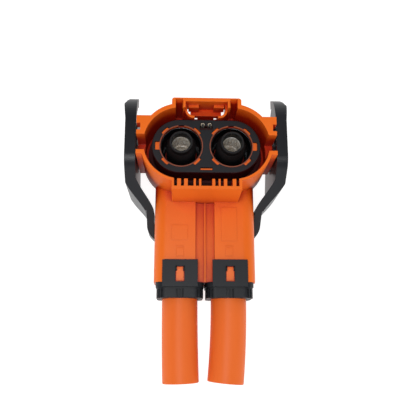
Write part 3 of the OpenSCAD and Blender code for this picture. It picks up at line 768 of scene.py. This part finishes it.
@dataclass
class Cable:
    """One shielded cable: sheath, braid, insulation and a stranded conductor, cut square at its end.

    Lengths are in millimetres. Each layer has an inner and an outer radius and starts at its
    own distance from the mating axis.
    """

    shop: Workshop
    side: int
    sheath: tuple[float, float] = (6.45, 8.3)
    braid: tuple[float, float] = (5.95, 6.4)
    insulation: tuple[float, float] = (4.35, 5.9)
    conductor: float = 4.3
    sheath_start: float = 43.6
    braid_start: float = 34.6
    insulation_start: float = 28.0
    conductor_start: float = 10.5
    end: float = 104.0
    lip: float = 0.25
    steps: int = 24
    braid_back: float = 0.7
    wires: int = 72
    wire_radii: tuple[float, float] = (0.19, 0.17)
    wire_root: float = 0.3
    wire_back: float = 0.12
    wire_sway: float = 0.22
    wire_ragged: float = 0.1
    layers: tuple[int, ...] = (1, 6, 12, 18)
    lay: float = 70.0
    strand_steps: int = 30
    strand_fill: float = 0.97

    @property
    def route(self) -> Route:
        """The cable's middle line."""
        return Route(self.side, BENDS[self.side])

    @property
    def label(self) -> str:
        """The side's name."""
        return side_name(self.side)

    def beside(self, reach: float, away: float, turn: float) -> Matrix:
        """Returns the route's frame at a place, moved off its middle by a distance and an angle."""
        offset = Vector((away * math.cos(turn), away * math.sin(turn), 0.0))
        return self.route.at(reach) @ Matrix.Translation(offset)

    def build(self) -> None:
        """Makes the four layers from the outside in."""
        self.pipe("cable_sheath", Finish.SHEATH, self.sheath, self.sheath_start, sides=72)
        self.pipe(
            "cable_insulation", Finish.INSULATION, self.insulation, self.insulation_start, sides=48
        )
        self.screen()
        self.strands()

    def pipe(self, node: str, finish: Finish, radii: tuple[float, float], start: float, sides: int) -> None:
        """Makes one round layer with softly broken edges at both ends.

        Args:
            node: The CAD node's name without its side.
            finish: The layer's finish.
            radii: The inner and outer radius.
            start: Where it starts, from the mating axis.
            sides: The number of sides.
        """
        inner, outer = radii
        lip = min(self.lip, (outer - inner) / 3.0)
        places = spaced(start + lip, self.end - lip, self.steps)
        reach = [start, *places, self.end, self.end, *reversed(places), start]
        out, back = [outer] * len(places), [inner] * len(places)
        size = [outer - lip, *out, outer - lip, inner + lip, *back, inner + lip]
        mould = Mould(f"{node}_layer_{self.label}")
        mould.tube([self.route.at(r) for r in reach], size, sides, capped=False)
        smoothed(self.shop.cast(mould, finish, f"{node}_{self.label}"))

    def screen(self) -> None:
        """Makes the braid: a thin tube that ends in a ring of wire ends, a little uneven."""
        inner, outer = self.braid
        stop = self.end - self.braid_back
        places = spaced(self.braid_start, stop, self.steps)
        mould = Mould(f"braid_{self.label}")
        frames = [self.route.at(r) for r in (*places, *reversed(places))]
        mould.tube(frames, [outer] * len(places) + [inner] * len(places), sides=48, capped=False)
        middle = (inner + outer) / 2.0
        for i in range(self.wires):
            turn = 2.0 * math.pi * (i + self.wire_sway * math.sin(i * 2.4)) / self.wires
            tip = self.end - self.wire_back - self.wire_ragged * math.sin(i * 1.7)
            wire = [self.beside(r, middle, turn) for r in (stop - self.wire_root, tip)]
            mould.tube(wire, self.wire_radii, sides=6, capped=True)
        smoothed(self.shop.cast(mould, Finish.BRAID, f"cable_braid_{self.label}"))

    def strands(self) -> None:
        """Makes the conductor: layers of round strands that twist about its middle."""
        mould = Mould(f"strands_{self.label}")
        thick = self.conductor / (2 * len(self.layers) - 1)
        places = spaced(self.conductor_start, self.end, self.strand_steps)
        radii = [thick * self.strand_fill] * len(places)
        for ring, count in enumerate(self.layers):
            for i in range(count):
                frames = []
                for reach in places:
                    turn = 2.0 * math.pi * (i / count + (-1) ** ring * reach / self.lay)
                    frames.append(self.beside(reach, 2.0 * thick * ring, turn))
                mould.tube(frames, radii, sides=8, capped=True)
        smoothed(self.shop.cast(mould, Finish.COPPER, f"conductor_{self.label}"))


@dataclass
class Socket:
    """What shows inside one touch guard: a spring basket in the socket, spring fingers round the guard.

    Lengths are in millimetres and the twist in degrees, and a blade's width is a share of the
    pitch from one blade to the next. The band has a bottom and a top, and the sleeve a foot,
    the root of its fingers and their tips.
    """

    shop: Workshop
    side: int
    band: tuple[float, float] = (30.75, 40.65)
    band_r: float = 4.45
    band_rim: float = 1.1
    band_wall: float = 0.12
    waist: float = 4.06
    blades: int = 22
    blade_root: float = 0.99
    blade_dish: float = 0.10
    blade_width: float = 0.65
    twist: float = 14.0
    sleeve: tuple[float, float, float] = (27.2, 33.3, 41.3)
    sleeve_r: float = 9.4
    sleeve_wall: float = 0.35
    flange_r: float = 7.5
    flange_h: float = 0.3
    bow: float = 0.8
    bow_rate: float = 1.15
    cells: int = 360
    finger_cells: int = 30
    rows: int = 8

    @property
    def label(self) -> str:
        """The side's name."""
        return side_name(self.side)

    def point(self, radius: float, turn: float, height: float) -> Vector:
        """Returns a point from its radius, angle and height about the contact's axis."""
        x = self.side * PITCH / 2.0 + radius * math.cos(turn)
        return Vector((x, radius * math.sin(turn), height))

    def build(self) -> None:
        """Makes both spring parts."""
        self.basket()
        self.fingers()

    def basket(self) -> None:
        """Makes the louvred sleeve: two rings joined by twisted blades that bow inward."""
        mould = Mould(f"contact_basket_{self.label}")
        low, high = self.band
        rim = self.band_rim
        turns = around(2 * self.blades)
        for levels in ((low, low + rim), (high - rim, high)):
            mould.skin([mould.ring(self.point(self.band_r, t, z) for t in turns) for z in levels])
        for root in turns[::2]:
            rows = [self.blade_row(mould, root, k / self.rows) for k in range(self.rows + 1)]
            for a, b in zip(rows, rows[1:]):
                for i in range(2):
                    mould.mesh.faces.new((a[i], a[i + 1], b[i + 1], b[i]))
        made = self.shop.cast(mould, Finish.BAND, f"contact_band_{self.label}")
        smoothed(thickened(made, self.band_wall))

    def blade_row(self, mould: Mould, root: float, share: float) -> list[bmesh.types.BMVert]:
        """Adds one row of a blade: two edges and the dished middle between them.

        Args:
            mould: The mesh that takes the row.
            root: The angle of the blade's first edge, halfway up.
            share: How far up the blade, from 0 to 1.

        Returns:
            The row's three vertices.
        """
        low, high = self.band[0] + self.blade_root, self.band[1] - self.blade_root
        height = low + (high - low) * share
        bow = math.sin(math.pi * share)
        radius = self.band_r - (self.band_r - self.waist) * bow
        dish = self.blade_dish * bow
        start = root + math.radians(self.twist) * (share - 0.5)
        width = self.blade_width * 2.0 * math.pi / self.blades
        return mould.ring((
            self.point(radius + dish, start, height),
            self.point(radius, start + width / 2.0, height),
            self.point(radius + 2 * dish, start + width, height),
        ))

    def fingers(self) -> None:
        """Makes the shield's sleeve with twelve spring fingers that bow inward."""
        mould = Mould(f"shield_fingers_{self.label}")
        foot, root, tip = self.sleeve
        turns = around(self.cells, 0.5)
        body = [mould.ring(self.point(self.flange_r, t, foot) for t in turns)]
        for z in (foot, foot + self.flange_h, (foot + root) / 2.0, root):
            body.append(mould.ring(self.point(self.sleeve_r, t, z) for t in turns))
        mould.skin(body)
        rows = [body[-1]]
        for k in range(1, self.rows + 1):
            share = k / self.rows
            bow = math.sin(math.pi * min(share * self.bow_rate, 1.0)) ** 2
            radius = self.sleeve_r - self.bow * bow
            height = root + (tip - root) * share
            rows.append(mould.ring(self.point(radius, t, height) for t in turns))
        for a, b in zip(rows, rows[1:]):
            for i in range(self.cells):
                if (i + 1) % self.finger_cells:
                    j = (i + 1) % self.cells
                    mould.mesh.faces.new((a[i], a[j], b[j], b[i]))
        made = self.shop.cast(mould, Finish.SHIELD, f"shield_sleeve_{self.label}")
        smoothed(thickened(made, self.sleeve_wall))


@dataclass
class Interlock:
    """The two thin formed receptacles above the contacts, joined at the bottom of their well.

    Each one is a flat arch, seen from the front, that opens towards the contacts. A thin dark liner in each
    is painted shade on its inner walls.
    """

    shop: Workshop
    spread: float = 1.6
    width: float = 1.55
    height: float = 1.05
    wall: float = 0.2
    chamfer: float = 0.2
    inner_chamfer: tuple[float, float] = (0.1, 0.08)
    top: float = 11.12
    depth: tuple[float, float] = (32.2, 42.45)
    bridge: float = 0.8
    bridge_width: float = 0.4
    liner: float = 0.04
    liner_gap: float = 0.005
    liner_ends: tuple[float, float] = (1.0, 0.1)

    def build(self) -> None:
        """Makes the receptacles and their liners of painted shade."""
        self.receptacles()
        self.shade_liners()

    def stand(self, mould: Mould, profile: Sequence[tuple[float, float]], levels: Sequence[float]) -> None:
        """Stands one profile up at both receptacles.

        Args:
            mould: The mesh that takes them.
            profile: X and Y of the corners, from the middle of a receptacle's top.
            levels: Z of the bottom and of the top.
        """
        for x in (-self.spread, self.spread):
            mould.prism([(x + px, self.top + py) for px, py in profile], levels)

    def receptacles(self) -> None:
        """Makes both receptacles and the bridge between them as one piece."""
        mould = Mould("interlock_receptacles")
        w, h, t, c = self.width / 2.0, self.height, self.wall, self.chamfer
        inner = w - t
        flat, shoulder = inner - self.inner_chamfer[0], t + self.inner_chamfer[1]
        profile = [(-w, -h), (-w, -c), (c - w, 0.0), (w - c, 0.0), (w, -c), (w, -h)]
        profile += [(inner, -h), (inner, -shoulder), (flat, -t)]
        profile += [(-flat, -t), (-inner, -shoulder), (-inner, -h)]
        self.stand(mould, profile, self.depth)
        high, low = self.top - self.wall, self.top - self.wall - self.bridge_width
        strip = [(-self.spread, high), (self.spread, high), (self.spread, low), (-self.spread, low)]
        mould.prism(strip, (self.depth[0], self.depth[0] + self.bridge))
        smoothed(self.shop.cast(mould, Finish.GOLD, "interlock_shunt"))

    def shade_liners(self) -> None:
        """Lines each receptacle with a thin dark wall, painted shade over the gold inner walls, that leaves
        its middle open.
        """
        mould = Mould("interlock_shade_liners")
        h, t = self.height, self.wall + self.liner_gap
        w = self.width / 2.0 - t
        inner, under = w - self.liner, t + self.liner
        profile = [(-w, -h), (-w, -t), (w, -t), (w, -h)]
        profile += [(inner, -h), (inner, -under), (-inner, -under), (-inner, -h)]
        low, high = self.depth
        self.stand(mould, profile, (low + self.liner_ends[0], high - self.liner_ends[1]))
        # painted shade: a black sheet over the gold inner walls
        self.shop.cast(mould, Finish.GUARD)


@dataclass
class WindowShadow:
    """The two dark corners, painted shadow, that narrow the top of one cable cap's latch window.

    Each one spans two distances either side of the duct's middle, and two places in Y and Z.
    """

    shop: Workshop
    side: int
    reach: tuple[float, float] = (1.42, 2.02)
    span: tuple[float, float] = (-54.9, -52.6)
    level: tuple[float, float] = (29.02, 30.0)

    def build(self) -> None:
        """Makes both corners of this side as one piece."""
        mould = Mould(f"window_shadow_corners_{side_name(self.side)}")
        front, back = self.span
        for hand in (-1, 1):
            near, far = (self.side * PITCH / 2.0 + hand * reach for reach in self.reach)
            mould.prism([(near, front), (far, front), (far, back), (near, back)], self.level)
        # painted shadow: black blocks where the window's walls cast shade
        self.shop.cast(mould, Finish.GUARD)


@dataclass(frozen=True)
class Softbox:
    """A square soft light: its name, its place and side in metres, and its power in watts."""

    name: str
    at: tuple[float, float, float]
    size: float
    power: float

    def hang(self, aim: Vector) -> None:
        """Hangs the light so that it looks at a point.

        Args:
            aim: The point, in metres.
        """
        data = bpy.data.lights.new(self.name, "AREA")
        data.shape = "SQUARE"
        data.size = self.size
        data.energy = self.power
        light = bpy.data.objects.new(self.name, data)
        light.location = self.at
        light.rotation_euler = (Vector(self.at) - aim).to_track_quat("Z", "Y").to_euler()
        bpy.context.scene.collection.objects.link(light)


@dataclass
class Studio:
    """A pale floor, soft lights and the camera.

    The camera stands at a distance in millimetres from the point that it looks at, leaning
    and turned by angles in degrees. The floor's half side is in metres, and the sky's stops
    go from the horizon, at 0, to straight up, at 1.
    """

    aim: Vector = field(default_factory=lambda: Vector((-3.07, -26.75, 48.5)) * MM)
    distance: float = 236.86
    tilt: float = 14.43
    turn: float = 2.02
    lens: float = 49.47
    sensor: float = 36.0
    near: float = 0.01
    floor_half: float = 3.0
    floor_tones: tuple[Colour, Colour] = ((0.40, 0.40, 0.40), (0.42, 0.42, 0.42))
    floor_lumps: float = 40.0
    glow: float = 0.85
    sky_strength: float = 1.4
    sky: Sequence[tuple[float, Colour]] = (
        (0.0, (0.9, 0.9, 0.91)),
        (0.3, (0.55, 0.55, 0.56)),
        (0.65, (0.15, 0.15, 0.15)),
        (1.0, (0.04, 0.04, 0.04)),
    )
    lights: Sequence[Softbox] = (
        Softbox("key", (-0.05, -0.11, 0.50), 0.24, 1.42),
        Softbox("fill", (0.35, 0.30, 0.55), 0.4, 0.35),
    )

    def build(self) -> None:
        """Sets up the camera, the floor, the world and the lights."""
        self.camera()
        self.floor()
        self.world()
        for light in self.lights:
            light.hang(self.aim)
        scene = bpy.context.scene
        scene.view_settings.view_transform = "Standard"
        scene.view_settings.look = "None"

    def camera(self) -> None:
        """Puts the camera over the mating face, leaning to the cables' side."""
        tilt, turn = math.radians(self.tilt), math.radians(self.turn)
        back = Vector((-math.sin(turn), -math.sin(tilt) * math.cos(turn), math.cos(tilt) * math.cos(turn)))
        up = (Vector((0, 1, 0)) - back * back.y).normalized()
        right = up.cross(back)
        data = bpy.data.cameras.new("camera")
        data.lens = self.lens
        data.sensor_width = self.sensor
        data.clip_start = self.near
        camera = bpy.data.objects.new("camera", data)
        camera.matrix_world = Matrix((right, up, back)).transposed().to_4x4()
        camera.matrix_world.translation = self.aim + back * self.distance * MM
        bpy.context.scene.collection.objects.link(camera)
        bpy.context.scene.camera = camera

    def floor(self) -> None:
        """Lays a plain pale floor under the part."""
        mesh = bpy.data.meshes.new("floor")
        half = self.floor_half
        corners = [(-half, -half, 0), (half, -half, 0), (half, half, 0), (-half, half, 0)]
        mesh.from_pydata(corners, [], [(0, 1, 2, 3)])
        floor = bpy.data.objects.new("floor", mesh)
        graph = Graph(bpy.data.materials.new("floor_white"))
        mottle = graph.noise(self.floor_lumps, 2.0)
        mesh.materials.append(
            graph.finish(
                Base_Color=graph.blend(mottle, *self.floor_tones),
                Roughness=0.9,
                Emission_Color=(1.0, 1.0, 1.0),
                Emission_Strength=self.glow,
            )
        )
        bpy.context.scene.collection.objects.link(floor)

    def world(self) -> None:
        """Surrounds the scene with white light that comes from the sides rather than from above."""
        world = bpy.data.worlds.new("studio")
        graph = Graph(world)
        direction = graph.node("ShaderNodeTexCoord", output="Generated")
        rise = graph.node("ShaderNodeSeparateXYZ", {}, {0: direction}, "Z")
        sky = graph.node("ShaderNodeValToRGB", {"stops": self.sky}, {0: rise})
        light = graph.node("ShaderNodeBackground", {}, {0: sky, 1: self.sky_strength})
        graph.close("ShaderNodeOutputWorld", light)
        bpy.context.scene.world = world


def main() -> None:
    """Builds the studio and dresses the part, one sub-assembly after the other."""
    logging.basicConfig(level=logging.INFO, format="%(name)s: %(message)s")
    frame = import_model()
    Studio().build()
    shop = Workshop(frame)
    shop.dress_nodes()
    for side in BENDS:
        Socket(shop, side).build()
        Cable(shop, side).build()
        WindowShadow(shop, side).build()
    Interlock(shop).build()


if __name__ == "__main__":
    main()
